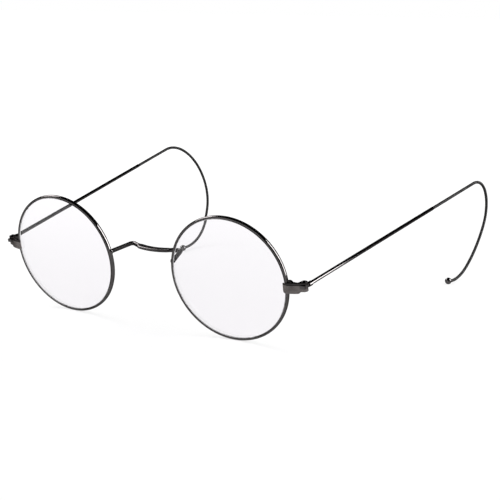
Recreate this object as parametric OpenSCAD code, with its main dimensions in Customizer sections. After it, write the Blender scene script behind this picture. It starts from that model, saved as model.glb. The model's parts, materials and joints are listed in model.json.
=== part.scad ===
// Round wire eyeglasses with a saddle bridge and wound ear cables, standing open on a table.
// X runs across the face, Y from the lenses back along the temples, and Z is up.
// Left and right are the wearer's, so the left side has positive X.
// The pieces are drawn as worn, with the lens centres at height zero and the rims upright.
// The whole is then leaned over until both rims and both ball tips stand on the table.

/* [Lenses] */
// Diameter of a lens over its bevel
lens_d = 42.3; // [38:0.1:48]
// Thickness of a lens at its centre
lens_t = 1.35; // [1.1:0.05:1.6]
// Radius of the front surface of a lens
lens_front_r = 130; // [110:5:200]
// Radius of the back surface of a lens
lens_back_r = 128; // [105:5:200]
// Height of the bevel round the edge of a lens
bevel_h = 0.32; // [0.2:0.02:0.4]

/* [Rims] */
// Wall of a rim, from the lens edge to its outside
rim_wall = 1; // [0.8:0.05:1.3]
// Depth of a rim, front to back
rim_depth = 1.6; // [1.4:0.05:2]
// Radius of the crown rolled on the outside of a rim
rim_crown_r = 1.3; // [1.1:0.1:3]
// Clear width between the two rims
nose_gap = 24.6; // [18:0.1:30]
// Angle by which each rim turns back towards its temple
face_form = 1.9; // [0:0.1:5]
// Width of the slit that closes when the hinge screw is tightened
closing_gap = 0.12; // [0.08:0.02:0.2]

/* [Saddle bridge] */
// Height of the bridge above the lens centres
bridge_z = 3.6; // [2:0.1:6]
// Diameter of the bridge wire
bridge_wire_d = 1.5; // [1.2:0.1:1.8]
// How far the bends of the bridge lie behind the rims' middle plane
bridge_setback = 8.5; // [6:0.2:12]
// Distance between the centres of the two bends of the bridge
bridge_bend_w = 19.4; // [17:0.2:21]
// Radius of the wire's middle at each bend
bridge_bend_r = 1.15; // [1:0.05:1.5]
// Plan radius of the saddle
saddle_r = 20; // [16:0.5:26]
// Width of the flattened saddle, front to back
saddle_w = 2.6; // [1.8:0.1:3.2]
// Thickness of the flattened saddle
saddle_t = 1; // [0.8:0.05:1.4]
// Half the angle over which the saddle is flattened
saddle_half_angle = 16.5; // [9:0.5:18]

/* [Hinges] */
// Distance from the lens edge out to the hinge pin
pin_reach = 5.7; // [5.2:0.05:8]
// Distance of the hinge pin behind the rim's middle plane
pin_back = 1.6; // [1.5:0.05:2]
// Height of the left temple's eye above the lens centre
left_hinge_z = 0.4; // [0:0.05:3]
// Height of the right temple's eye above the lens centre
right_hinge_z = 1.35; // [0:0.05:3]
// Thickness of the temple's eye
eye_t = 1.1; // [0.9:0.05:1.6]
// Radius of the temple's eye, and of the lugs above and below it
eye_r = 1.2; // [1.1:0.05:1.3]
// Thickness of the upper block
upper_t = 0.7; // [0.5:0.05:1]
// Thickness of the lug under the eye
lower_lug_t = 1.1; // [0.8:0.05:1.6]
// Height of the lower block beside the rim
lower_block_h = 2.75; // [2.4:0.05:4]
// How far the blocks wrap forward of the rim's middle plane
block_front = 1.1; // [1:0.05:1.5]
// How far the blocks lap inward over the front of the rim, past the lens edge
block_lap = 0.55; // [0:0.05:0.6]
// Gap between the hinge pin and the outer end of the blocks, seen from the front
block_short = 0.9; // [0.8:0.05:1.2]
// Height of the rounded boss on the upper block, beside the rim
boss_h = 1.25; // [1:0.05:1.6]
// Diameter of the hinge screw's shank
screw_d = 1; // [0.8:0.05:1.2]
// Diameter of the screw's head
screw_head_d = 1.6; // [1.4:0.05:2]
// Height of the screw's domed head
screw_head_h = 0.45; // [0.35:0.05:0.7]
// Radial clearance of the screw in the temple's eye
pin_clearance = 0.04; // [0.02:0.01:0.1]
// Height left free above and below the temple's eye
eye_clearance = 0.05; // [0.03:0.01:0.1]

/* [Temples] */
// Outward angle of an open temple
splay = 3.8; // [0:0.1:8]
// Offset of the temple wire outward from the hinge pin
wire_offset = 0.6; // [0.4:0.05:0.9]
// Diameter of the temple wire
wire_d = 1.3; // [1.1:0.05:1.5]
// Distance from the hinge pin back to the start of the ear cable
shaft_len = 86; // [70:1:95]
// Diameter of the ferrule that holds the wire
ferrule_d = 1.7; // [1.7:0.05:1.9]
// Distance from the hinge pin to the back end of the ferrule
ferrule_end = 2.9; // [2.7:0.1:5]
// Depth of the ferrule's socket
socket_depth = 1.2; // [0.8:0.1:1.3]

/* [Ear cables] */
// Diameter of the wound ear cable
cable_d = 1.2; // [0.9:0.05:1.25]
// Diameter of the core wire inside the cable
core_d = 0.5; // [0.4:0.05:0.6]
// Diameter of the ball tip
ball_d = 2.6; // [2.2:0.1:3.4]
// Downward slope of the left temple
left_droop = 3.6; // [0:0.05:6]
// Distance from the hinge pin to where the left cable starts to bend
left_bend_start = 120.6; // [100:0.1:130]
// Inward tilt of the left cable's hook
left_tilt = 3.5; // [0:0.1:20]
// Radius of the left cable's bend over the ear
left_ear_r = 14.05; // [11:0.05:22]
// Angle of the left cable's bend over the ear
left_ear_angle = 122.2; // [105:0.1:135]
// Radius of the left cable's run behind the ear
left_back_r = 35.5; // [25:0.1:60]
// Angle of the left cable's run behind the ear
left_back_angle = 30.4; // [10:0.1:40]
// Radius of the left cable's last bend
left_end_r = 19; // [12:0.1:30]
// Angle of the left cable's last bend
left_end_angle = 47.2; // [30:0.1:60]
// Downward slope of the right temple
right_droop = 0.85; // [0:0.05:6]
// Distance from the hinge pin to where the right cable starts to bend
right_bend_start = 108.7; // [100:0.1:130]
// Inward tilt of the right cable's hook
right_tilt = 17.7; // [0:0.1:24]
// Radius of the right cable's bend over the ear
right_ear_r = 18.8; // [11:0.05:22]
// Angle of the right cable's bend over the ear
right_ear_angle = 135.5; // [105:0.1:140]
// Radius of the right cable's run behind the ear
right_back_r = 44.5; // [25:0.1:60]
// Angle of the right cable's run behind the ear
right_back_angle = 10.8; // [8:0.1:40]
// Radius of the right cable's last bend
right_end_r = 27.6; // [12:0.1:30]
// Angle of the right cable's last bend
right_end_angle = 46.5; // [30:0.1:60]

/* [Hidden] */

LEFT = 1;
RIGHT = -1;

// Clearance between pieces that are pushed together
seat = 0.02;
// Overshoot of cutters past the faces they cut
past = 1;

// Rims and lenses, about the lens centre
lens_r = lens_d / 2;
lens_edge_r = lens_r - bevel_h;
rim_inner_r = lens_edge_r + seat;
rim_r = rim_inner_r + rim_wall;
rim_x = nose_gap / 2 + rim_r;
groove_r = lens_r + seat;
front_sag = lens_front_r - sqrt(pow(lens_front_r, 2) - pow(lens_edge_r, 2));
back_sag = lens_back_r - sqrt(pow(lens_back_r, 2) - pow(lens_edge_r, 2));
lens_edge_t = lens_t - front_sag + back_sag;
lens_front_y = -lens_edge_t / 2 - front_sag;

// Hinge heights, above the middle of the temple's eye
eye_top = eye_t / 2;
upper_bottom = eye_top + eye_clearance;
upper_top = upper_bottom + upper_t;
split_z = upper_bottom - closing_gap / 2;
lower_top = split_z - closing_gap / 2;
lower_bottom = lower_top - lower_block_h;
lug_top = -eye_top - eye_clearance;
lug_bottom = lug_top - lower_lug_t;

// Plan of the blocks, outward from the lens centre
pin_out = rim_inner_r + pin_reach;
block_start = rim_inner_r - block_lap;
block_end = pin_out - block_short;
block_back = rim_depth / 2;
// How far the front of the blocks bulges past a straight line, between its two ends
front_bulge = 0.28;
// How far the outer end of the blocks lies behind the rim's middle plane, front and back
end_front = pin_back - 1.55;
end_back = pin_back - 1.05;
// Rounding of the lower block's bottom corners, at the rim and at the lug
rim_corner_r = 0.8;
lug_corner_r = 0.6;
// Middle of the upper block's boss: out from the rim, and its start before the rim's middle plane
boss_out = 0.31;
boss_start = 0.4;

// Stop spur that runs forward from the temple's eye along the block's end
spur_w = 1.75;
spur_reach = 1.7;
spur_gap = 0.1;
// Clearance round the eye in the lower block
eye_relief = 0.15;
// How far the root of each lug reaches into its block
lug_root = 0.8;

// Screw: its slot, and the height of its dome as a share of the head's height
slot_w = 0.3;
slot_depth = 0.22;
dome_share = 0.75;
screw_r = screw_d / 2;
dome_rise = screw_head_h * dome_share;
dome_r = (pow(screw_head_d / 2, 2) + pow(dome_rise, 2)) / (2 * dome_rise);

// Neck between the temple's eye and its ferrule: its sides inward and outward of the pin, and its length
neck_in = 0.4;
neck_out = wire_offset + 0.5;
neck_len = 1.5;
// How far the ferrule starts before the end of the neck
neck_lap = 0.1;

// Radii of the wires and the tip
wire_r = wire_d / 2;
cable_r = cable_d / 2;
core_r = core_d / 2;
ball_r = ball_d / 2;
// Depth of the core's sockets in the temple wire, and of the cable's socket in the ball tip
core_socket = 2;
cable_socket = 0.12;
// Distance from the end of the cable to the middle of the ball tip
tip_seat = sqrt(pow(ball_r, 2) - pow(cable_r, 2)) - cable_socket;

// Plan of one half of the bridge, X outward and Y back
bridge_r = bridge_wire_d / 2;
bend_x = bridge_bend_w / 2;
bend_y = bridge_setback - bridge_bend_r;
saddle_centre_y = bend_y + sqrt(pow(saddle_r + bridge_bend_r, 2) - pow(bend_x, 2));
bend_in_angle = asin(bend_x / (saddle_r + bridge_bend_r));
// The leg ends flat against the back of the rim, at the middle of its wall
leg_end_back = rim_depth / 2 + seat;
rim_half_chord = sqrt(pow(rim_inner_r + rim_wall / 2, 2) - pow(bridge_z, 2));
leg_end_x = rim_x - rim_half_chord * cos(face_form) - leg_end_back * sin(face_form);
leg_end_y = leg_end_back * cos(face_form) - rim_half_chord * sin(face_form);
leg_reach = norm([leg_end_x - bend_x, leg_end_y - bend_y]);
leg_heading = atan2(leg_end_y - bend_y, leg_end_x - bend_x) - asin(bridge_bend_r / leg_reach);
// Angle over which the flat of the saddle runs out into round wire
saddle_taper = 3.5;
// Squareness of the flat's corners, from 0 for an ellipse to 1 for a rectangle
saddle_squareness = 0.45;

// Bends of each ear cable, as radius and angle, from the temple to the tip
left_bends = [
    [left_ear_r, left_ear_angle],
    [left_back_r, left_back_angle],
    [left_end_r, left_end_angle],
];
right_bends = [
    [right_ear_r, right_ear_angle],
    [right_back_r, right_back_angle],
    [right_end_r, right_end_angle],
];
function bends_of(side) = side == LEFT ? left_bends : right_bends;
function bend_start_of(side) = side == LEFT ? left_bend_start : right_bend_start;
function droop_of(side) = side == LEFT ? left_droop : right_droop;
function hinge_z_of(side) = side == LEFT ? left_hinge_z : right_hinge_z;
function tilt_of(side) = side == LEFT ? left_tilt : right_tilt;

// End of a chain of bends: forward distance, height and angle turned so far
function end_of(bends, i = 0, y = 0, z = 0, turned = 0) =
    i == len(bends) ? [y, z, turned] :
    end_of(
        bends, i + 1,
        y + bends[i][0] * (sin(turned + bends[i][1]) - sin(turned)),
        z + bends[i][0] * (cos(turned + bends[i][1]) - cos(turned)),
        turned + bends[i][1]
    );

// Depth behind the rims and height of the ball tip's centre, as worn
function ball_along(side) =
    let (e = end_of(bends_of(side)))
    [bend_start_of(side) + e[0] + tip_seat * cos(e[2]), e[1] - tip_seat * sin(e[2])];
function ball_out(side) =
    let (b = ball_along(side), tilt = tilt_of(side))
    [wire_offset + b[1] * sin(tilt), b[0], b[1] * cos(tilt)];
function ball_drooped(side) =
    let (p = ball_out(side), droop = droop_of(side))
    [p[0], p[1] * cos(droop) + p[2] * sin(droop), p[2] * cos(droop) - p[1] * sin(droop)];
function ball_centre(side) =
    let (p = ball_drooped(side))
    [
        p[1] * cos(splay) - p[0] * sin(splay) + pin_out * sin(face_form) + pin_back * cos(face_form),
        p[2] + hinge_z_of(side),
    ];

// Lean at which a ball tip of this side and the rims touch one plane
function lean_for(side) =
    let (b = ball_centre(side), rise = b[1] + rim_r - rim_crown_r)
    asin((ball_r - rim_crown_r) / norm([b[0], rise])) - atan2(rise, b[0]);
lean = max(lean_for(LEFT), lean_for(RIGHT));
raise = (rim_r - rim_crown_r) * cos(lean) + rim_crown_r;

// Smoothness of round shapes, then the sides, degrees and steps of bent ones
small_fn = 48;
tube_fn = 32;
large_fn = 180;
sphere_fn = 240;
cable_sides = 12;
bridge_sides = 20;
bend_step = 6;
saddle_steps = 14;
bend_steps = 10;
corner_steps = 6;
front_steps = 8;

// Stands the worn glasses on the table
module standing() {
    translate([0, 0, raise]) rotate([lean, 0, 0]) children();
}

// Draws a left-hand piece on either side
module on_side(side) {
    mirror([side == LEFT ? 0 : 1, 0, 0]) children();
}

// Frame of one rim: X out from the nose, Y back, Z up, from the lens centre
module at_rim() {
    translate([rim_x, 0, 0]) rotate([0, 0, face_form]) children();
}

// Frame of one hinge's blocks: the rim's frame, raised to the middle of the temple's eye
module at_hinge(side) {
    at_rim() translate([0, 0, hinge_z_of(side)]) children();
}

// Frame of one hinge pin, at the middle of the temple's eye, square to the rim
module at_pin(side) {
    at_hinge(side) translate([pin_out, pin_back, 0]) children();
}

// Frame of an open temple: Y runs back from the pin
module at_temple(side) {
    at_pin(side) rotate([0, 0, -splay - face_form]) children();
}

// Frame of the temple wire, with its slope
module at_wire(side) {
    at_temple(side) translate([wire_offset, 0, 0]) rotate([-droop_of(side), 0, 0]) children();
}

// Frame of the ear cable's hook, tilted inward, at the start of its bends
module at_hook(side) {
    at_wire(side) rotate([0, tilt_of(side), 0]) translate([0, bend_start_of(side), 0]) children();
}

// Moves to the end of a chain of bends
module past_bends(bends) {
    end = end_of(bends);
    translate([0, end[0], end[1]]) rotate([-end[2], 0, 0]) children();
}

// Round wire or tube along Y
module rod(from, to, radius) {
    translate([0, from, 0])
        rotate([-90, 0, 0])
            cylinder(r = radius, h = to - from, $fn = tube_fn);
}

// Faces between ring i and ring j of a skin
function band(i, j, sides) = [
    for (k = [0 : sides - 1])
        let (next = (k + 1) % sides)
        each [
            [i * sides + k, j * sides + k, i * sides + next],
            [i * sides + next, j * sides + k, j * sides + next],
        ]
];

// Solid skin over a row of rings with the same number of points
module skin(rings) {
    sides = len(rings[0]);
    last = len(rings) - 1;
    polyhedron(
        points = [for (ring = rings) each ring],
        faces = concat(
            [[for (k = [0 : sides - 1]) k]],
            [for (i = [0 : last - 1]) each band(i, i + 1, sides)],
            [[for (k = [sides - 1 : -1 : 0]) last * sides + k]]
        )
    );
}

// Hollow skin: the row of rings goes out along the outside and comes back along the inside
module hollow_skin(rings) {
    sides = len(rings[0]);
    polyhedron(
        points = [for (ring = rings) each ring],
        faces = [for (i = [0 : len(rings) - 1]) each band(i, (i + 1) % len(rings), sides)]
    );
}

// Places along a chain of bends, each as forward distance, height and angle turned
function trail(bends, i = 0, y = 0, z = 0, turned = 0) =
    i == len(bends) ? [] :
    let (
        radius = bends[i][0],
        angle = bends[i][1],
        steps = ceil(angle / bend_step),
        places = [for (k = [1 : steps])
            let (a = turned + angle * k / steps)
            [y + radius * (sin(a) - sin(turned)), z + radius * (cos(a) - cos(turned)), a]],
        end = places[steps - 1]
    )
    concat(places, trail(bends, i + 1, end[0], end[1], end[2]));

// Places along a whole cable: a straight run, the bends, and a straight run into the ball tip
function cable_trail(bends, before, after) =
    let (end = end_of(bends))
    concat(
        [[-before, 0, 0], [0, 0, 0]],
        trail(bends),
        after > 0 ? [[end[0] + after * cos(end[2]), end[1] - after * sin(end[2]), end[2]]] : []
    );

// Rings of a given radius around the places of a cable
function rings_around(places, radius) = [
    for (p = places)
        [for (k = [0 : cable_sides - 1])
            let (a = 360 * k / cable_sides, out = radius * cos(a), up = radius * sin(a))
            [out, p[0] + up * sin(p[2]), p[1] + up * cos(p[2])]
        ]
];

// The same list from its last entry to its first
function backwards(list) = [for (i = [len(list) - 1 : -1 : 0]) list[i]];

// Turns a solid about Z into one about the lens axis
module about_lens_axis() {
    rotate([90, 0, 0]) children();
}

// Crowned outside of a rim down to the radius that is given, as a 2D half section
module crowned_section(inner) {
    intersection() {
        translate([inner, -rim_depth / 2]) square([rim_r - inner, rim_depth]);
        union() {
            translate([rim_r - rim_crown_r, 0]) circle(r = rim_crown_r, $fn = large_fn);
            translate([inner, -rim_depth / 2]) square([rim_inner_r - inner + bevel_h, rim_depth]);
        }
    }
}

// The space that a rim and its lens take, cut from the blocks in their raised frame
module rim_space(side) {
    translate([0, 0, -hinge_z_of(side)])
        about_lens_axis()
            rotate_extrude($fn = large_fn) crowned_section(0);
}

// Rim: a crowned ring with a groove for the lens and the closing slit
module rim(side) {
    color("dimgray") standing() on_side(side) at_rim() difference() {
        about_lens_axis() rotate_extrude($fn = large_fn) difference() {
            crowned_section(rim_inner_r);
            polygon([
                [rim_inner_r - bevel_h, -bevel_h * 2 - seat],
                [groove_r, 0],
                [rim_inner_r - bevel_h, bevel_h * 2 + seat],
            ]);
        }
        translate([rim_inner_r - past, -rim_depth, hinge_z_of(side) + split_z - closing_gap / 2])
            cube([rim_wall + 2 * past, 2 * rim_depth, closing_gap]);
    }
}

// Lens: a bevelled disc between two spheres
module lens(side) {
    color("lavender") standing() on_side(side) at_rim() difference() {
        intersection() {
            about_lens_axis() rotate_extrude($fn = large_fn) polygon([
                [0, -past - front_sag],
                [lens_edge_r, -past - front_sag],
                [lens_edge_r, -bevel_h],
                [lens_r, 0],
                [lens_edge_r, bevel_h],
                [lens_edge_r, past + front_sag],
                [0, past + front_sag],
            ]);
            translate([0, lens_front_y + lens_front_r, 0]) sphere(r = lens_front_r, $fn = sphere_fn);
        }
        translate([0, lens_front_y + lens_t + lens_back_r, 0]) sphere(r = lens_back_r, $fn = sphere_fn);
    }
}

// How flat the bridge is at an angle from the middle of the saddle: 1 flat, 0 round wire
function flatness(angle) =
    let (run = min(1, max(0, (angle - saddle_half_angle) / saddle_taper)))
    1 - run * run * (3 - 2 * run);

// Places along one half, each as X, Y, heading and flatness
function half_bridge() = concat(
    [for (k = [0 : saddle_steps])
        let (a = bend_in_angle * k / saddle_steps)
        [saddle_r * sin(a), saddle_centre_y - saddle_r * cos(a), a, flatness(a)]],
    [for (k = [1 : bend_steps])
        let (a = bend_in_angle + (leg_heading - bend_in_angle) * k / bend_steps)
        [bend_x - bridge_bend_r * sin(a), bend_y + bridge_bend_r * cos(a), a, 0]],
    [[leg_end_x, leg_end_y, face_form - 90, 0]]
);

// A sine or cosine pushed outward, so that an ellipse turns into a rounded rectangle
function rounded(x, squareness) = sign(x) * pow(abs(x), 1 - squareness);

// One ring of the bridge: a round section that flattens and widens with the flatness
function bridge_ring(p) =
    let (
        half_w = bridge_r + (saddle_w / 2 - bridge_r) * p[3],
        half_t = bridge_r + (saddle_t / 2 - bridge_r) * p[3],
        squareness = saddle_squareness * p[3]
    )
    [for (k = [0 : bridge_sides - 1])
        let (
            a = 360 * k / bridge_sides,
            across = half_w * rounded(cos(a), squareness),
            up = half_t * rounded(sin(a), squareness)
        )
        [p[0] - across * sin(p[2]), p[1] + across * cos(p[2]), bridge_z + up]
    ];

// Saddle bridge: one wire from rim to rim
module saddle_bridge() {
    half = half_bridge();
    other_half = [for (i = [len(half) - 1 : -1 : 1]) [-half[i][0], half[i][1], -half[i][2], half[i][3]]];
    places = concat(other_half, half);
    color("dimgray") standing() skin([for (p = places) bridge_ring(p)]);
}

// Plan of the body of both blocks, from over the rim's front out to the hinge
module block_plan() {
    front = [
        for (k = [0 : front_steps])
            let (u = k / front_steps)
            [
                block_start + (block_end - block_start) * u,
                -block_front + (end_front + block_front) * u - 4 * front_bulge * u * (1 - u),
            ]
    ];
    polygon(concat(front, [[block_end, end_back], [rim_r, block_back], [block_start, block_back]]));
}

// Plan of the lug round the pin, with its root in the block
module lug_plan() {
    translate([pin_out, pin_back]) circle(r = eye_r, $fn = small_fn);
    polygon([
        [block_end - lug_root, end_front],
        [block_end, end_front],
        [pin_out, pin_back - eye_r],
        [pin_out, pin_back],
        [pin_out - eye_r, pin_back],
        [block_end - lug_root, end_back],
    ]);
}

// Straight hole along Z through everything at the pin
module pin_hole(radius) {
    translate([pin_out, pin_back, lower_bottom - past])
        cylinder(r = radius, h = upper_top - lower_bottom + 2 * past, $fn = small_fn);
}

// Points of a quarter round, from one angle to another a quarter turn on
function quarter(centre, radius, from) = [
    for (k = [0 : corner_steps])
        let (a = from + 90 * k / corner_steps)
        [centre[0] + radius * cos(a), centre[1] + radius * sin(a)]
];

// Front view of the lower block: square on top, with rounded corners below
module block_profile() {
    polygon(concat(
        [[block_end, lower_top], [block_start, lower_top]],
        quarter([block_start + rim_corner_r, lower_bottom + rim_corner_r], rim_corner_r, 180),
        quarter([block_end - lug_corner_r, lower_bottom + lug_corner_r], lug_corner_r, 270)
    ));
}

// Upper block: the plate over the slit, a boss beside the rim, and the lug above the temple's eye
module upper_block(side) {
    color("dimgray") standing() on_side(side) at_hinge(side) difference() {
        union() {
            translate([0, 0, upper_bottom]) linear_extrude(upper_t) block_plan();
            translate([0, 0, upper_bottom]) linear_extrude(upper_t) lug_plan();
            translate([rim_r + boss_out, -boss_start, upper_bottom]) intersection() {
                rotate([-90, 0, 0]) cylinder(r = boss_h, h = boss_start + block_back, $fn = small_fn);
                translate([-boss_h, 0, 0]) cube([2 * boss_h, boss_start + block_back, boss_h]);
            }
        }
        rim_space(side);
        pin_hole(screw_r + pin_clearance);
    }
}

// Lower block: the tall block under the slit, with the lug below the temple's eye
module lower_block(side) {
    color("dimgray") standing() on_side(side) at_hinge(side) difference() {
        union() {
            intersection() {
                translate([0, 0, lower_bottom]) linear_extrude(lower_block_h) block_plan();
                translate([0, pin_back, 0])
                    rotate([90, 0, 0])
                        linear_extrude(pin_back + block_front + past) block_profile();
            }
            translate([0, 0, lug_bottom]) linear_extrude(lower_lug_t) lug_plan();
        }
        rim_space(side);
        pin_hole(screw_r + seat);
        translate([pin_out, pin_back, lug_top])
            cylinder(r = eye_r + eye_relief, h = lower_block_h, $fn = small_fn);
    }
}

// Hinge screw: shank and domed, slotted head
module hinge_screw(side) {
    color("black") standing() on_side(side) at_pin(side) difference() {
        union() {
            translate([0, 0, lug_bottom]) cylinder(r = screw_r, h = upper_top - lug_bottom, $fn = small_fn);
            translate([0, 0, upper_top]) intersection() {
                cylinder(d = screw_head_d, h = screw_head_h, $fn = small_fn);
                translate([0, 0, screw_head_h - dome_r]) sphere(r = dome_r, $fn = large_fn);
            }
        }
        translate([-screw_head_d, -slot_w / 2, upper_top + screw_head_h - slot_depth])
            cube([2 * screw_head_d, slot_w, screw_head_h]);
    }
}

// Temple joint: eye, neck, stop spur and the ferrule for the wire
module temple_joint(side) {
    color("dimgray") standing() on_side(side) difference() {
        union() {
            at_temple(side) {
                translate([0, 0, -eye_t / 2]) cylinder(r = eye_r, h = eye_t, $fn = small_fn);
                translate([-neck_in, 0, -eye_t / 2]) cube([neck_in + neck_out, neck_len, eye_t]);
            }
            at_pin(side) translate([spur_gap - block_short, -spur_reach, -eye_t / 2])
                cube([spur_w, spur_reach, eye_t]);
            at_wire(side) rod(neck_len - neck_lap, ferrule_end, ferrule_d / 2);
        }
        at_pin(side)
            translate([0, 0, -eye_t])
                cylinder(r = screw_r + pin_clearance, h = 2 * eye_t, $fn = small_fn);
        at_wire(side) rod(ferrule_end - socket_depth, ferrule_end + past, wire_r + seat);
    }
}

// Temple wire: straight, with the core's socket in its back end
module temple_wire(side) {
    color("dimgray") standing() on_side(side) at_wire(side) difference() {
        rod(ferrule_end - socket_depth, shaft_len, wire_r);
        rod(shaft_len - core_socket, shaft_len + past, core_r + seat);
    }
}

// Cable core: the wire inside the winding, from the temple wire to the ball tip
module cable_core(side) {
    before = bend_start_of(side) - shaft_len + core_socket;
    places = cable_trail(bends_of(side), before, tip_seat);
    color("silver") standing() on_side(side) at_hook(side)
        skin(rings_around(places, core_r));
}

// Ear cable: the winding, as a tube of its outer diameter
module ear_cable(side) {
    before = bend_start_of(side) - shaft_len;
    places = cable_trail(bends_of(side), before, 0);
    outside = rings_around(places, cable_r);
    inside = rings_around(places, core_r + seat);
    color("gray") standing() on_side(side) at_hook(side)
        hollow_skin(concat(outside, backwards(inside)));
}

// Ball tip, drilled for the cable and its core
module ball_tip(side) {
    color("dimgray") standing() on_side(side) at_hook(side) past_bends(bends_of(side)) difference() {
        translate([0, tip_seat, 0]) sphere(r = ball_r, $fn = large_fn);
        rod(-past, 0, cable_r + seat);
        rod(-past, tip_seat, core_r + seat);
    }
}

rim(LEFT);  // rim_left
rim(RIGHT);  // rim_right
lens(LEFT);  // lens_left
lens(RIGHT);  // lens_right
saddle_bridge();
upper_block(LEFT);  // upper_block_left
upper_block(RIGHT);  // upper_block_right
lower_block(LEFT);  // lower_block_left
lower_block(RIGHT);  // lower_block_right
hinge_screw(LEFT);  // hinge_screw_left
hinge_screw(RIGHT);  // hinge_screw_right
temple_joint(LEFT);  // temple_joint_left
temple_joint(RIGHT);  // temple_joint_right
temple_wire(LEFT);  // temple_wire_left
temple_wire(RIGHT);  // temple_wire_right
cable_core(LEFT);  // cable_core_left
cable_core(RIGHT);  // cable_core_right
ear_cable(LEFT);  // ear_cable_left
ear_cable(RIGHT);  // ear_cable_right
ball_tip(LEFT);  // ball_tip_left
ball_tip(RIGHT);  // ball_tip_right
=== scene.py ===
# %% [markdown]
# Round wire eyeglasses, dressed for a photograph.
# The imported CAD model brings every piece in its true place, in metres.
# This script adds what the solids leave out: the camera, the light, the finishes, the soft
# roundness of the rims and blocks, the solder at the bridge, and the wire wound round the ear
# cables.

# %% Load the frame and keep its box
import json
import math

import bmesh
import bpy
import numpy as np
from mathutils import Matrix, Vector


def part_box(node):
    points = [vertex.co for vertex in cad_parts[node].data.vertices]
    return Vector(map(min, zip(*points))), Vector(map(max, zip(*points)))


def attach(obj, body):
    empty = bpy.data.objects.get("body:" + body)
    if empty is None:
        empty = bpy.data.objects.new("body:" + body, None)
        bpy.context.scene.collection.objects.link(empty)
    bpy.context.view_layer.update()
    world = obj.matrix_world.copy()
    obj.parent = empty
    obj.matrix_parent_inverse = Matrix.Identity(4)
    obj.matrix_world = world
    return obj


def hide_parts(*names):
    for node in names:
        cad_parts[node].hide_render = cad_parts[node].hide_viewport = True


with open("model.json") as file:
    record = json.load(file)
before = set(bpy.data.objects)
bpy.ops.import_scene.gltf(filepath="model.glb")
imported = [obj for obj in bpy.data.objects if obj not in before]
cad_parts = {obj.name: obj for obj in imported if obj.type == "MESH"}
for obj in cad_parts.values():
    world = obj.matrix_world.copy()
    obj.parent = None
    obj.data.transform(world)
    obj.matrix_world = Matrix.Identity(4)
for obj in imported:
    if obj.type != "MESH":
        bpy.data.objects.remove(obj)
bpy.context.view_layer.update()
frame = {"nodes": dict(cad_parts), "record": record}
nodes = frame["nodes"]

# %% [markdown]
# The camera stands to the wearer's left of the glasses, a little above them.
# It could be placed by eye, but the ellipses of the two rims pin it down far closer, and they
# give its focal length too. A tiny roll keeps the table level the way the photograph has it.

# %% Camera
CAMERA_PLACE = Vector((0.2332, -0.30987, 0.11572))
CAMERA_AZIMUTH = math.radians(31.658)
CAMERA_ELEVATION = math.radians(12.953)
CAMERA_ROLL = math.radians(0.020)
FOCAL_LENGTH_MM = 84.9
SENSOR_WIDTH_MM = 36.0
NEAREST_SEEN = 0.01
FARTHEST_SEEN = 20.0

forward = Vector((
    -math.sin(CAMERA_AZIMUTH) * math.cos(CAMERA_ELEVATION),
    math.cos(CAMERA_AZIMUTH) * math.cos(CAMERA_ELEVATION),
    -math.sin(CAMERA_ELEVATION),
))
camera = bpy.data.objects.new("camera", bpy.data.cameras.new("camera"))
camera.data.lens = FOCAL_LENGTH_MM
camera.data.sensor_width = SENSOR_WIDTH_MM
camera.data.clip_start = NEAREST_SEEN
camera.data.clip_end = FARTHEST_SEEN
turn = forward.to_track_quat("-Z", "Y").to_matrix().to_4x4()
camera.matrix_world = Matrix.Translation(CAMERA_PLACE) @ turn @ Matrix.Rotation(CAMERA_ROLL, 4, "Z")
bpy.context.scene.collection.objects.link(camera)
bpy.context.scene.camera = camera
bpy.context.scene.view_settings.view_transform = "Standard"
print("camera looks along", [round(v, 4) for v in forward])

# %% [markdown]
# A material is a small graph of nodes. These helpers keep the graphs short to read: one makes
# an empty material with its shader, one adds a node and joins it up, and one tells which rays
# see a surface directly.

# %% Helpers for materials


def new_material(name):
    """Returns a material, its node tree and its Principled shader."""
    material = bpy.data.materials.new(name)
    material.use_nodes = True
    tree = material.node_tree
    return material, tree, tree.nodes["Principled BSDF"]


def add(tree, kind, settings=None, **inputs):
    """Adds a node. A value that is a socket is linked, and any other is set on the input.

    An input is given by its name, or as i0, i1 and so on by its place in the node.
    """
    node = tree.nodes.new(kind)
    for key, value in (settings or {}).items():
        setattr(node, key, value)
    for key, value in inputs.items():
        socket = node.inputs[int(key[1:])] if key[0] == "i" and key[1:].isdigit() else node.inputs[key]
        if isinstance(value, bpy.types.NodeSocket):
            tree.links.new(value, socket)
        else:
            socket.default_value = value
    return node


def seen_directly(tree):
    """A socket that is 1 for rays from the camera or through glass, and 0 for all others."""
    path = add(tree, "ShaderNodeLightPath")
    return add(
        tree, "ShaderNodeMath", {"operation": "MAXIMUM"},
        i0=path.outputs["Is Camera Ray"], i1=path.outputs["Is Transmission Ray"],
    ).outputs[0]


# %% [markdown]
# The table is a plain pale sheet. The photograph's paper is pure white, with only a faint
# shadow where the rims touch. So the floor is pale grey paper to lamps and mirrors, but what
# the eye sees of it, directly or through a lens, is mostly a white glow with a share of the
# lit paper mixed in. That share carries the shadows. The glow grows with the distance, because
# the lamps reach less of the paper there. A mirror sees the paper at one even grey level.

# %% Floor
FLOOR_HALF = 3.0
PAPER = (0.9, 0.9, 0.9, 1.0)
PAPER_ROUGHNESS = 0.8
WHITE = (1.0, 1.0, 1.0, 1.0)
GLOW_SHARE = 0.8
GLOW_NEAR = 0.92
GLOW_FAR = 1.25
FAR_AWAY = 0.8
PAPER_IN_MIRRORS = 0.5

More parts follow.
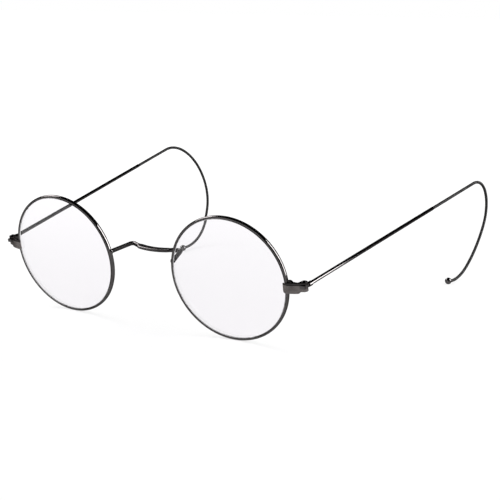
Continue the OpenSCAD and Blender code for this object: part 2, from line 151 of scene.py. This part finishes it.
floor_mesh = bpy.data.meshes.new("floor")
floor_mesh.from_pydata(
    [(-FLOOR_HALF, -FLOOR_HALF, 0), (FLOOR_HALF, -FLOOR_HALF, 0),
     (FLOOR_HALF, FLOOR_HALF, 0), (-FLOOR_HALF, FLOOR_HALF, 0)],
    [], [(0, 1, 2, 3)],
)
floor = bpy.data.objects.new("floor", floor_mesh)
bpy.context.scene.collection.objects.link(floor)

paper, tree, shader = new_material("white_paper")
shader.inputs["Base Color"].default_value = PAPER
shader.inputs["Roughness"].default_value = PAPER_ROUGHNESS
shader.inputs["Specular IOR Level"].default_value = 0.0
place = add(tree, "ShaderNodeTexCoord").outputs["Object"]
away = add(tree, "ShaderNodeVectorMath", {"operation": "LENGTH"}, i0=place)
strength = add(
    tree, "ShaderNodeMapRange", Value=away.outputs["Value"],
    **{"From Max": FAR_AWAY, "To Min": GLOW_NEAR, "To Max": GLOW_FAR},
)
glow = add(tree, "ShaderNodeEmission", Color=WHITE, Strength=strength.outputs[0])
direct = seen_directly(tree)
share = add(tree, "ShaderNodeMath", {"operation": "MULTIPLY"}, i0=direct, i1=GLOW_SHARE)
direct_mix = add(
    tree, "ShaderNodeMixShader",
    i0=share.outputs[0], i1=shader.outputs[0], i2=glow.outputs[0],
)
glossy = add(tree, "ShaderNodeLightPath").outputs["Is Glossy Ray"]
mirrored = add(
    tree, "ShaderNodeMath", {"operation": "SUBTRACT", "use_clamp": True},
    i0=glossy, i1=direct,
)
even_grey = add(tree, "ShaderNodeEmission", Color=WHITE, Strength=PAPER_IN_MIRRORS)
paper_mix = add(
    tree, "ShaderNodeMixShader",
    i0=mirrored.outputs[0], i1=direct_mix.outputs[0], i2=even_grey.outputs[0],
)
tree.links.new(paper_mix.outputs[0], tree.nodes["Material Output"].inputs["Surface"])
floor_mesh.materials.append(paper)

# %% [markdown]
# The world has three faces. Seen directly or through glass it is white. As light it is an even
# glow from all sides. In a mirror it is the dark room above the table, and that is what gives
# the plated metal its black bands.

# %% World
ROOM = (0.012, 0.012, 0.0125, 1.0)
WORLD_LIGHT = 0.6

world = bpy.data.worlds.new("studio")
bpy.context.scene.world = world
world.use_nodes = True
tree = world.node_tree
tree.nodes.clear()
mirror_ray = add(tree, "ShaderNodeLightPath").outputs["Is Glossy Ray"]
even_light = add(tree, "ShaderNodeBackground", Color=WHITE, Strength=WORLD_LIGHT)
dark_room = add(tree, "ShaderNodeBackground", Color=ROOM, Strength=1.0)
white_wall = add(tree, "ShaderNodeBackground", Color=WHITE, Strength=1.0)
unseen = add(
    tree, "ShaderNodeMixShader",
    i0=mirror_ray, i1=even_light.outputs[0], i2=dark_room.outputs[0],
)
world_mix = add(
    tree, "ShaderNodeMixShader",
    i0=seen_directly(tree), i1=unseen.outputs[0], i2=white_wall.outputs[0],
)
add(tree, "ShaderNodeOutputWorld", Surface=world_mix.outputs[0])

# %% [markdown]
# Two strip lights stand near, one above the other, behind the glasses on the wearer's left.
# Their reflection is the crisp white line down the outside of both rims, and along the first
# third of the near temple, where it stops because the strips are narrow. A soft square one
# behind the wearer's right draws the pale line over the top of the rims and the second spark on
# each ball tip. A dim card in front keeps the bridge from going quite black. Each is an area
# lamp, because its size and place decide where on a round wire its reflection starts and ends.

# %% Lamps


def softbox(name, aim, azimuth, elevation, distance, size, radiance):
    """A lamp seen from the aim at an azimuth from +X towards +Y, and an elevation, in degrees.

    Its power is radiance times area times pi, so a mirror shows it at that radiance.
    """
    data = bpy.data.lights.new(name, "AREA")
    data.shape = "RECTANGLE"
    data.size, data.size_y = size
    data.energy = radiance * size[0] * size[1] * math.pi
    lamp = bpy.data.objects.new(name, data)
    round_z = math.radians(azimuth)
    above = math.radians(elevation)
    way = Vector((
        math.cos(round_z) * math.cos(above),
        math.sin(round_z) * math.cos(above),
        math.sin(above),
    ))
    lamp.location = Vector(aim) + way * distance
    lamp.rotation_euler = (-way).to_track_quat("-Z", "Y").to_euler()
    bpy.context.scene.collection.objects.link(lamp)
    print(name, "gives", round(radiance * size[0] * size[1] / distance ** 2, 3), "W/m2 face on")


NEAR_HINGE = (0.062, 0.01, 0.025)
RIM_TOPS = (0.0, 0.0, 0.04)
BRIDGE = (0.0, 0.0, 0.025)
softbox(
    "strip_low", NEAR_HINGE, azimuth=40.5, elevation=9.0, distance=0.6,
    size=(0.19, 0.26), radiance=12.0)
softbox(
    "strip_high", NEAR_HINGE, azimuth=35.0, elevation=34.5, distance=0.6,
    size=(0.21, 0.28), radiance=12.0)
softbox(
    "soft_square", RIM_TOPS, azimuth=161.0, elevation=36.0, distance=0.8,
    size=(0.42, 0.3), radiance=14.0)
softbox(
    "front_card", BRIDGE, azimuth=-112.0, elevation=16.0, distance=0.9,
    size=(1.3, 0.3), radiance=1.0)

# %% [markdown]
# Gunmetal plating is a dark mirror: a thin, nearly black, slightly warm layer on polished
# metal. Its grey comes from what it reflects. Real plating is never quite even, so a slow
# noise varies the tone, and a fine one breaks up the gloss with polishing marks. The edge
# tint keeps the rims of the reflection dark, as a thin oxide does, where bare metal
# would turn white. The blocks were filed and soldered, so they are rougher and less even, and
# the bridge is a little worn, so it is rougher too. The upper blocks and the bridge are also
# darker than the gunmetal. That is painted shade, which blackens the upper plates of the hinges
# and the top of the saddle. A picture of metal could be wrapped round each piece instead, but
# noise in Object coordinates needs no seams and holds still when a piece moves.

# %% Metal finishes
MM = 0.001
TONE_PATCHES_PER_METRE = 260.0
TONE_DETAIL = 3.0
TONE_RAMP = (0.3, 0.7)
ROUGHNESS_SPREAD = (0.7, 1.4)
MARK_STRENGTH = 0.5
MARK_DETAIL = 4.0


def metal_finish(name, colour, edge, tone, roughness, mark_size, mark_depth):
    """A plated metal. Its colour varies slowly by the share tone, and fine marks stand up by mark_depth.

    edge is the share of the reflection that is left where the surface is seen nearly edge on.
    """
    material, tree, shader = new_material(name)
    place = add(tree, "ShaderNodeTexCoord").outputs["Object"]
    slow = add(
        tree, "ShaderNodeTexNoise",
        Vector=place, Scale=TONE_PATCHES_PER_METRE, Detail=TONE_DETAIL,
    )
    fine = add(
        tree, "ShaderNodeTexNoise",
        Vector=place, Scale=1.0 / mark_size, Detail=MARK_DETAIL,
    )
    ramp = add(tree, "ShaderNodeValToRGB", Fac=slow.outputs["Fac"])
    for stop, position, level in zip(ramp.color_ramp.elements, TONE_RAMP, (1 - tone, 1 + tone)):
        stop.position = position
        stop.color = tuple(min(1.0, v * level) for v in colour) + (1.0,)
    tree.links.new(ramp.outputs["Color"], shader.inputs["Base Color"])
    rough = add(
        tree, "ShaderNodeMapRange", Value=fine.outputs["Fac"],
        **{"To Min": roughness * ROUGHNESS_SPREAD[0], "To Max": roughness * ROUGHNESS_SPREAD[1]},
    )
    tree.links.new(rough.outputs[0], shader.inputs["Roughness"])
    bump = add(
        tree, "ShaderNodeBump",
        Height=fine.outputs["Fac"], Strength=MARK_STRENGTH, Distance=mark_depth,
    )
    tree.links.new(bump.outputs["Normal"], shader.inputs["Normal"])
    shader.inputs["Metallic"].default_value = 1.0
    shader.inputs["Specular Tint"].default_value = (edge, edge, edge, 1.0)
    print(name, "has marks of", round(mark_size / MM, 3), "mm and a roughness near", roughness)
    return material


gunmetal = metal_finish(
    "gunmetal_plating", colour=(0.15, 0.142, 0.142), edge=0.15, tone=0.12,
    roughness=0.06, mark_size=0.4 * MM, mark_depth=0.001 * MM)
# The bridge is rougher, as worn plating is, and its darker colour is painted shade that deepens the
# black on top of the saddle.
bridge_plating = metal_finish(
    "worn_gunmetal_with_painted_shade", colour=(0.09, 0.085, 0.085), edge=0.25, tone=0.2,
    roughness=0.22, mark_size=0.3 * MM, mark_depth=0.002 * MM)
# A darker copy of the gunmetal for the upper blocks. Its colour is painted shade, which makes the upper
# plates look dark. Its roughness and uneven tone are those of filed metal.
painted_shade_plating = metal_finish(
    "gunmetal_with_painted_shade", colour=(0.07, 0.065, 0.065), edge=0.3, tone=0.3,
    roughness=0.14, mark_size=0.3 * MM, mark_depth=0.012 * MM)
solder = metal_finish(
    "soldered_metal", colour=(0.25, 0.228, 0.222), edge=0.4, tone=0.45,
    roughness=0.24, mark_size=0.3 * MM, mark_depth=0.02 * MM)
winding = metal_finish(
    "wound_wire", colour=(0.08, 0.078, 0.078), edge=0.2, tone=0.15,
    roughness=0.46, mark_size=0.15 * MM, mark_depth=0.004 * MM)
screw_black = metal_finish(
    "blackened_screw", colour=(0.04, 0.038, 0.04), edge=0.4, tone=0.2,
    roughness=0.25, mark_size=0.3 * MM, mark_depth=0.01 * MM)

# %% [markdown]
# The lenses are clear glass with a very pale lavender coating. They could be thin sheets mixed
# from see-through and gloss, but they are solid in the frame, and solid glass bends what is seen
# through it by itself. Shadow rays pass straight through a tinted transparent shader,
# because light that goes through a thin lens barely dims the table.

# %% Lens glass
LENS_TINT = (0.94, 0.924, 0.948, 1.0)
SHADOW_TINT = (0.95, 0.94, 0.97, 1.0)
GLASS_REFRACTION = 1.52

glass, tree, shader = new_material("lens_glass")
shader.inputs["Base Color"].default_value = LENS_TINT
shader.inputs["Roughness"].default_value = 0.0
shader.inputs["IOR"].default_value = GLASS_REFRACTION
shader.inputs["Transmission Weight"].default_value = 1.0
shadow_ray = add(tree, "ShaderNodeLightPath").outputs["Is Shadow Ray"]
through = add(tree, "ShaderNodeBsdfTransparent", Color=SHADOW_TINT)
glass_mix = add(
    tree, "ShaderNodeMixShader",
    i0=shadow_ray, i1=shader.outputs[0], i2=through.outputs[0],
)
tree.links.new(glass_mix.outputs[0], tree.nodes["Material Output"].inputs["Surface"])

# %% [markdown]
# Each real piece is one metal all over, so the start of a node's name is enough to choose its
# finish. Temple wires, joints, screws, cable cores, ball tips and lenses keep the CAD model's own
# meshes and get nothing more. The cells after this one make new pieces, which stand for the
# rims, the blocks, the bridge and the ear cables.

# %% Dress the CAD nodes


def dress(prefix, material):
    """Gives a finish to every CAD node whose name starts with the prefix."""
    dressed = [name for name in sorted(nodes) if name.startswith(prefix)]
    for name in dressed:
        for slot in nodes[name].material_slots:
            slot.material = material
    print(material.name, "is on", ", ".join(dressed))


dress("rim", gunmetal)
# The bridge's plating is darker than the gunmetal, and that darkness is painted shade.
dress("saddle_bridge", bridge_plating)
dress("temple_wire", gunmetal)
dress("ball_tip", gunmetal)
dress("ear_cable", winding)
dress("cable_core", winding)
# The upper blocks take the darker copy of the gunmetal, whose colour is painted shade.
dress("upper_block", painted_shade_plating)
dress("lower_block", solder)
dress("temple_joint", gunmetal)
dress("hinge_screw", screw_black)
dress("lens", glass)

# %% [markdown]
# New pieces are grids of points: rows along the piece, columns round it. This helper turns
# such a grid into a closed mesh. Every column joins its neighbour, the last one joins the
# first, and the two open ends get a flat cap each.

# %% Helper for grids


def tube_piece(name, grid, material, body):
    """A closed piece from a grid of rows by columns by 3, which rides on a body.

    Quads join row i to row i + 1 and column j to column j + 1. The columns wrap round.
    The order of the corners makes the faces point out where the columns turn anticlockwise
    as seen along the rows, and then the printed volume is above zero.
    """
    rows, columns = grid.shape[:2]
    index = np.arange(rows * columns).reshape(rows, columns)
    beside = np.roll(index, -1, axis=1)
    quads = np.stack([index[:-1], beside[:-1], beside[1:], index[1:]], axis=-1).reshape(-1, 4)
    faces = quads.tolist() + [index[0, ::-1].tolist(), index[-1].tolist()]
    mesh = bpy.data.meshes.new(name)
    mesh.from_pydata(grid.reshape(-1, 3).tolist(), [], faces)
    mesh.materials.append(material)
    mesh.shade_smooth()
    mesh.update()
    piece = bpy.data.objects.new(name, mesh)
    bpy.context.scene.collection.objects.link(piece)
    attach(piece, body)
    volume = enclosed_volume(grid.reshape(-1, 3), quads)
    print(name, "has", len(faces), "faces and encloses", round(volume * 1e9, 2), "mm3")
    return piece


def enclosed_volume(points, quads):
    """Volume inside the quads: a sixth of the sum of a . (b x c) over their triangles."""
    a, b, c, d = (points[quads[:, k]] for k in range(4))
    return float(np.sum(a * np.cross(b, c)) + np.sum(a * np.cross(c, d))) / 6


# %% [markdown]
# The frames of the two sides. The glasses are leaned over from upright until they stand on the
# table, and each rim turns back a little towards its temple. The hinge axis in the record gives
# the lean, and the middle of each rim's box is its lens centre. Both sides are worked out as the
# left one, and the right one is mirrored. That turns its surface inside out, so the order of its
# columns is then reversed.

# %% Frames of the two sides
FACE_FORM = math.radians(1.9)
joints = {joint["child"]: joint for joint in frame["record"]["behaviour"]["joints"]}
left_axis = joints["temple_left"]["axis"]
LEAN = math.atan2(-left_axis[1], left_axis[2])
SIDES = {"left": 1.0, "right": -1.0}
print("lean", round(math.degrees(LEAN), 3), "degrees")


def turned(points, axis, angle):
    """Points turned about a coordinate axis: u' = u cos - v sin and v' = u sin + v cos."""
    u, v = (axis + 1) % 3, (axis + 2) % 3
    out = points.copy()
    out[..., u] = points[..., u] * math.cos(angle) - points[..., v] * math.sin(angle)
    out[..., v] = points[..., u] * math.sin(angle) + points[..., v] * math.cos(angle)
    return out


def stand(side, points, origin):
    """Worn directions of the left side, mirrored for the right, leaned over and moved to an origin."""
    return turned(points * [SIDES[side], 1.0, 1.0], 0, LEAN) + np.array(origin)


def on_rim(side, points):
    """Places in a rim's own frame, outward, back and up from the lens centre, brought to the table."""
    lowest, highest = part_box("rim_" + side)
    centre = (np.array(lowest) + np.array(highest)) / 2
    return stand(side, turned(points, 2, FACE_FORM), centre)


def facing_out(grid, inside_out):
    """The same surface, with its columns in the other order where its faces would point in."""
    return grid[:, ::-1] if inside_out else grid


# %% [markdown]
# A rim is drawn from round-edged wire with a groove rolled into its inside, and bent to a ring.
# The solid has sharp edges, so each rim is drawn again with a soft section. A bevel could round
# the solid, but its section is simple enough to give by a formula, and then the reflections
# flow without a break. The rounded wall is a hair thinner than the solid's, so that it stays
# inside the solid's box. The slit lies just above the temple's eye, where the two blocks meet.

# %% Rounded rims
LENS_RADIUS = 21.15 * MM
LENS_BEVEL = 0.32 * MM
LENS_SEAT = 0.02 * MM
RIM_WALL = 1.0 * MM
RIM_MIDDLE = LENS_RADIUS - LENS_BEVEL + LENS_SEAT + RIM_WALL / 2
RIM_HALF_WALL = 0.487 * MM
RIM_HALF_DEPTH = 0.8 * MM
RIM_SQUARENESS = 2.3
GROOVE_BOTTOM = LENS_RADIUS + LENS_SEAT
HINGE_HEIGHT = {"left": 0.4 * MM, "right": 1.35 * MM}
EYE_HALF_HEIGHT = 0.55 * MM
EYE_CLEARANCE = 0.05 * MM
SLIT_HALF = 0.06 * MM
SLIT_OVER_HINGE = EYE_HALF_HEIGHT + EYE_CLEARANCE - SLIT_HALF
RIM_STEPS = 360
SECTION_STEPS = 40


def rim_section():
    """Radius and depth round a rim's wire.

    A superellipse: radius and depth are the half sizes times cos and sin to the power 2 / n,
    with their signs kept. Inside the lens groove the radius is the groove's instead, which
    falls by the distance from the middle of the groove.
    """
    t = np.linspace(0.0, 2 * math.pi, SECTION_STEPS, endpoint=False)
    power = 2.0 / RIM_SQUARENESS
    radius = RIM_MIDDLE + RIM_HALF_WALL * np.sign(np.cos(t)) * np.abs(np.cos(t)) ** power
    depth = RIM_HALF_DEPTH * np.sign(np.sin(t)) * np.abs(np.sin(t)) ** power
    groove = GROOVE_BOTTOM - np.abs(depth)
    inside = np.cos(t) < 0
    return np.where(inside, np.maximum(radius, groove), radius), depth


def rounded_rim(side):
    """The section carried round the lens centre, from just above the slit to just below it."""
    radius, depth = rim_section()
    slit = math.asin((HINGE_HEIGHT[side] + SLIT_OVER_HINGE) / RIM_MIDDLE)
    gap = SLIT_HALF / RIM_MIDDLE
    angle = np.linspace(slit + gap, slit + 2 * math.pi - gap, RIM_STEPS)[:, None]
    grid = np.stack([
        radius * np.cos(angle),
        np.broadcast_to(depth, (RIM_STEPS, SECTION_STEPS)),
        radius * np.sin(angle),
    ], axis=-1)
    return facing_out(on_rim(side, grid), side == "right")


for side in SIDES:
    piece = tube_piece("rounded_rim_" + side, rounded_rim(side), gunmetal, "front")
    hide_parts("rim_" + side)

# %% [markdown]
# The blocks are soldered on and filed by hand, so no edge of them is sharp. Their shapes are too
# irregular for a formula, so here the solid itself is copied. Its loose triangles are merged,
# the flat faces are joined again, and a Bevel modifier rounds every real edge. The bridge comes
# the same way, because once merged its small facets shade as one smooth face.

# %% Soft edges of the blocks and a smooth bridge
SOFT_EDGE = 0.12 * MM
SOFT_EDGE_STEPS = 3
MERGE_DISTANCE = 0.0005 * MM
FLAT_ANGLE = math.radians(0.5)
EDGE_ANGLE = math.radians(35.0)


def soft_edged(node_name, material, body):
    """A copy of a CAD node with rounded edges, which stands for the node.

    Points closer than the merge distance become one, faces that meet within the flat angle
    become one, and every edge that is sharper than the edge angle is rounded.
    """
    source = nodes[node_name]
    shape = bmesh.new()
    shape.from_mesh(source.data)
    shape.transform(source.matrix_world)
    bmesh.ops.remove_doubles(shape, verts=shape.verts, dist=MERGE_DISTANCE)
    bmesh.ops.dissolve_limit(shape, angle_limit=FLAT_ANGLE, verts=shape.verts, edges=shape.edges)
    mesh = bpy.data.meshes.new("soft_" + node_name)
    shape.to_mesh(mesh)
    open_edges = sum(1 for edge in shape.edges if not edge.is_manifold)
    print(mesh.name, "has", len(shape.faces), "faces and", open_edges, "open edges")
    shape.free()
    if "custom_normal" in mesh.attributes:
        mesh.attributes.remove(mesh.attributes["custom_normal"])
    mesh.materials.append(material)
    mesh.shade_smooth()
    piece = bpy.data.objects.new(mesh.name, mesh)
    bpy.context.scene.collection.objects.link(piece)
    bevel = piece.modifiers.new("soft_edges", "BEVEL")
    bevel.width = SOFT_EDGE
    bevel.segments = SOFT_EDGE_STEPS
    bevel.limit_method = "ANGLE"
    bevel.angle_limit = EDGE_ANGLE
    bevel.harden_normals = True
    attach(piece, body)
    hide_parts(node_name)


# The upper blocks keep the darker plating, whose colour is painted shade.
for side in SIDES:
    soft_edged("upper_block_" + side, painted_shade_plating, "front")
    soft_edged("lower_block_" + side, solder, "front")
# The bridge keeps its darker plating, whose colour is painted shade.
soft_edged("saddle_bridge", bridge_plating, "front")

# %% [markdown]
# Where a leg of the bridge meets a rim, the solder has left a small dome round the joint. A ball
# could be squashed by hand, but as an egg given by a formula it sits where the rim's own frame
# puts it: at the height of the bridge's legs, just outside the middle of the wire.

# %% Solder at the bridge legs
POOL_ANGLE = math.radians(170.3)
POOL_RADIUS = 21.6 * MM
POOL_HALF_SIZES = np.array([0.7, 0.85, 1.0]) * MM
POOL_BACK = 0.25 * MM
POOL_END = 0.02
POOL_RINGS = 14
POOL_SIDES = 24


def solder_pool(side):
    """An egg: cos u along its first half size, and sin u times cos v and sin v along the others.

    u stops a little before each end of the egg, and the flat cap there is too small to see. Its
    columns turn the other way from a rim's, so it is the left one that has to be reversed.
    """
    u = np.linspace(POOL_END, math.pi - POOL_END, POOL_RINGS)[:, None]
    v = np.linspace(0.0, 2 * math.pi, POOL_SIDES, endpoint=False)
    unit = np.stack([
        np.broadcast_to(np.cos(u), (POOL_RINGS, POOL_SIDES)),
        np.sin(u) * np.cos(v),
        np.sin(u) * np.sin(v),
    ], axis=-1)
    centre = [POOL_RADIUS * math.cos(POOL_ANGLE), POOL_BACK, POOL_RADIUS * math.sin(POOL_ANGLE)]
    return facing_out(on_rim(side, unit * POOL_HALF_SIZES + centre), side == "left")


for side in SIDES:
    tube_piece("solder_pool_" + side, solder_pool(side), gunmetal, "front")

# %% [markdown]
# An ear cable is a fine wire wound turn on turn round a core, which is why it bends so softly
# round the ear. It could be a tube with a bump pattern, but the turns show at its edge, so the
# wire is really wound here. Its middle line repeats the bends of the part: a straight run, then
# three arcs one after another. A Bezier curve would only come near to them. Each bend below is
# a radius in millimetres and an angle in degrees.

# %% Middle line of an ear cable
SHAFT_LENGTH = 86.0 * MM
WIRE_OFFSET = 0.6 * MM
SPLAY = math.radians(3.8)
CABLES = {
    "left": {
        "droop": 3.6, "tilt": 3.5, "bend_start": 120.6,
        "bends": [(14.05, 122.2), (35.5, 30.4), (19.0, 47.2)],
    },
    "right": {
        "droop": 0.85, "tilt": 17.7, "bend_start": 108.7,
        "bends": [(18.8, 135.5), (44.5, 10.8), (27.6, 46.5)],
    },
}


def cable_line(bends, distance):
    """Forward and upward place and the angle turned, at distances from the start of the bends.

    In a bend of radius r that starts at heading h, turning by a adds r (sin(h + a) - sin h)
    forwards and r (cos(h + a) - cos h) upwards, so the line is exact.
    """
    forwards = np.minimum(distance, 0.0)
    upwards = np.zeros_like(distance)
    turned_by = np.zeros_like(distance)
    heading = 0.0
    for radius_mm, degrees in bends:
        radius, angle = radius_mm * MM, math.radians(degrees)
        here = np.clip(distance / radius, 0.0, angle)
        forwards = forwards + radius * (np.sin(heading + here) - math.sin(heading))
        upwards = upwards + radius * (np.cos(heading + here) - math.cos(heading))
        turned_by = turned_by + here
        heading += angle
        distance = distance - radius * angle
    return forwards, upwards, turned_by


def cable_length(bends):
    """Length of all the bends: the sum of radius times angle."""
    return sum(radius * MM * math.radians(degrees) for radius, degrees in bends)


# %% [markdown]
# The wire is a thin tube carried along a helix about that middle line. The turns lie side by
# side, so in one turn the wire moves on by its own diameter. A Screw modifier could make a
# straight coil, but not one that follows the bends. There are hundreds of turns, so each has
# only six dozen faces.

# %% Wind the wire
CABLE_R = 0.6 * MM
WOUND_WIRE_R = 0.1 * MM
INSIDE_SOLID = 0.004 * MM
WINDING_R = CABLE_R - WOUND_WIRE_R - INSIDE_SOLID
TURN_STEPS = 12
WIRE_SIDES = 6


def wound_wire(side):
    """A round wire wound turn on turn about the cable's middle line.

    After a turn of t the wire has moved along by its own diameter times t / 2 pi. Its middle
    lies at the winding radius in the direction e = up cos t + across sin t, and its section is
    a ring of points at the wire's radius, e sin u + along cos u.
    """
    cable = CABLES[side]
    start = (SHAFT_LENGTH - cable["bend_start"] * MM) + WOUND_WIRE_R
    end = cable_length(cable["bends"]) - WOUND_WIRE_R
    turns = (end - start) / (2 * WOUND_WIRE_R)
    t = np.arange(int(turns * TURN_STEPS) + 1) * (2 * math.pi / TURN_STEPS)
    forwards, upwards, turned_by = cable_line(cable["bends"], start + t * WOUND_WIRE_R / math.pi)
    nothing = np.zeros_like(t)
    middle = np.stack([nothing, forwards, upwards], axis=-1)
    along = np.stack([nothing, np.cos(turned_by), -np.sin(turned_by)], axis=-1)
    up = np.stack([nothing, np.sin(turned_by), np.cos(turned_by)], axis=-1)
    across = np.array([1.0, 0.0, 0.0])
    e = up * np.cos(t)[:, None] + across * np.sin(t)[:, None]
    u = np.arange(WIRE_SIDES) * (2 * math.pi / WIRE_SIDES)
    ring = (
        e[:, None, :] * np.sin(u)[None, :, None]
        + along[:, None, :] * np.cos(u)[None, :, None]
    )
    grid = (middle + WINDING_R * e)[:, None, :] + WOUND_WIRE_R * ring
    print(side, "cable:", round(turns), "turns over", round((end - start) / MM, 1), "mm")
    return grid


def on_hook(side, points):
    """Places in an ear cable's own frame, brought to the table along its temple."""
    cable = CABLES[side]
    points = points + np.array([0.0, cable["bend_start"] * MM, 0.0])
    points = turned(points, 1, math.radians(cable["tilt"]))
    points = turned(points, 0, -math.radians(cable["droop"]))
    points = points + np.array([WIRE_OFFSET, 0.0, 0.0])
    points = turned(points, 2, -SPLAY)
    return stand(side, points, joints["temple_" + side]["pos_m"])


for side in SIDES:
    grid = facing_out(on_hook(side, wound_wire(side)), side == "right")
    piece = tube_piece("winding_" + side, grid, winding, "temple_" + side)
    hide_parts("ear_cable_" + side)
    solid_box = np.array(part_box("ear_cable_" + side))
    wound_box = np.array([grid.min((0, 1)), grid.max((0, 1))])
    print("corners apart from its solid's by", np.round((wound_box - solid_box) / MM, 3).tolist(), "mm")
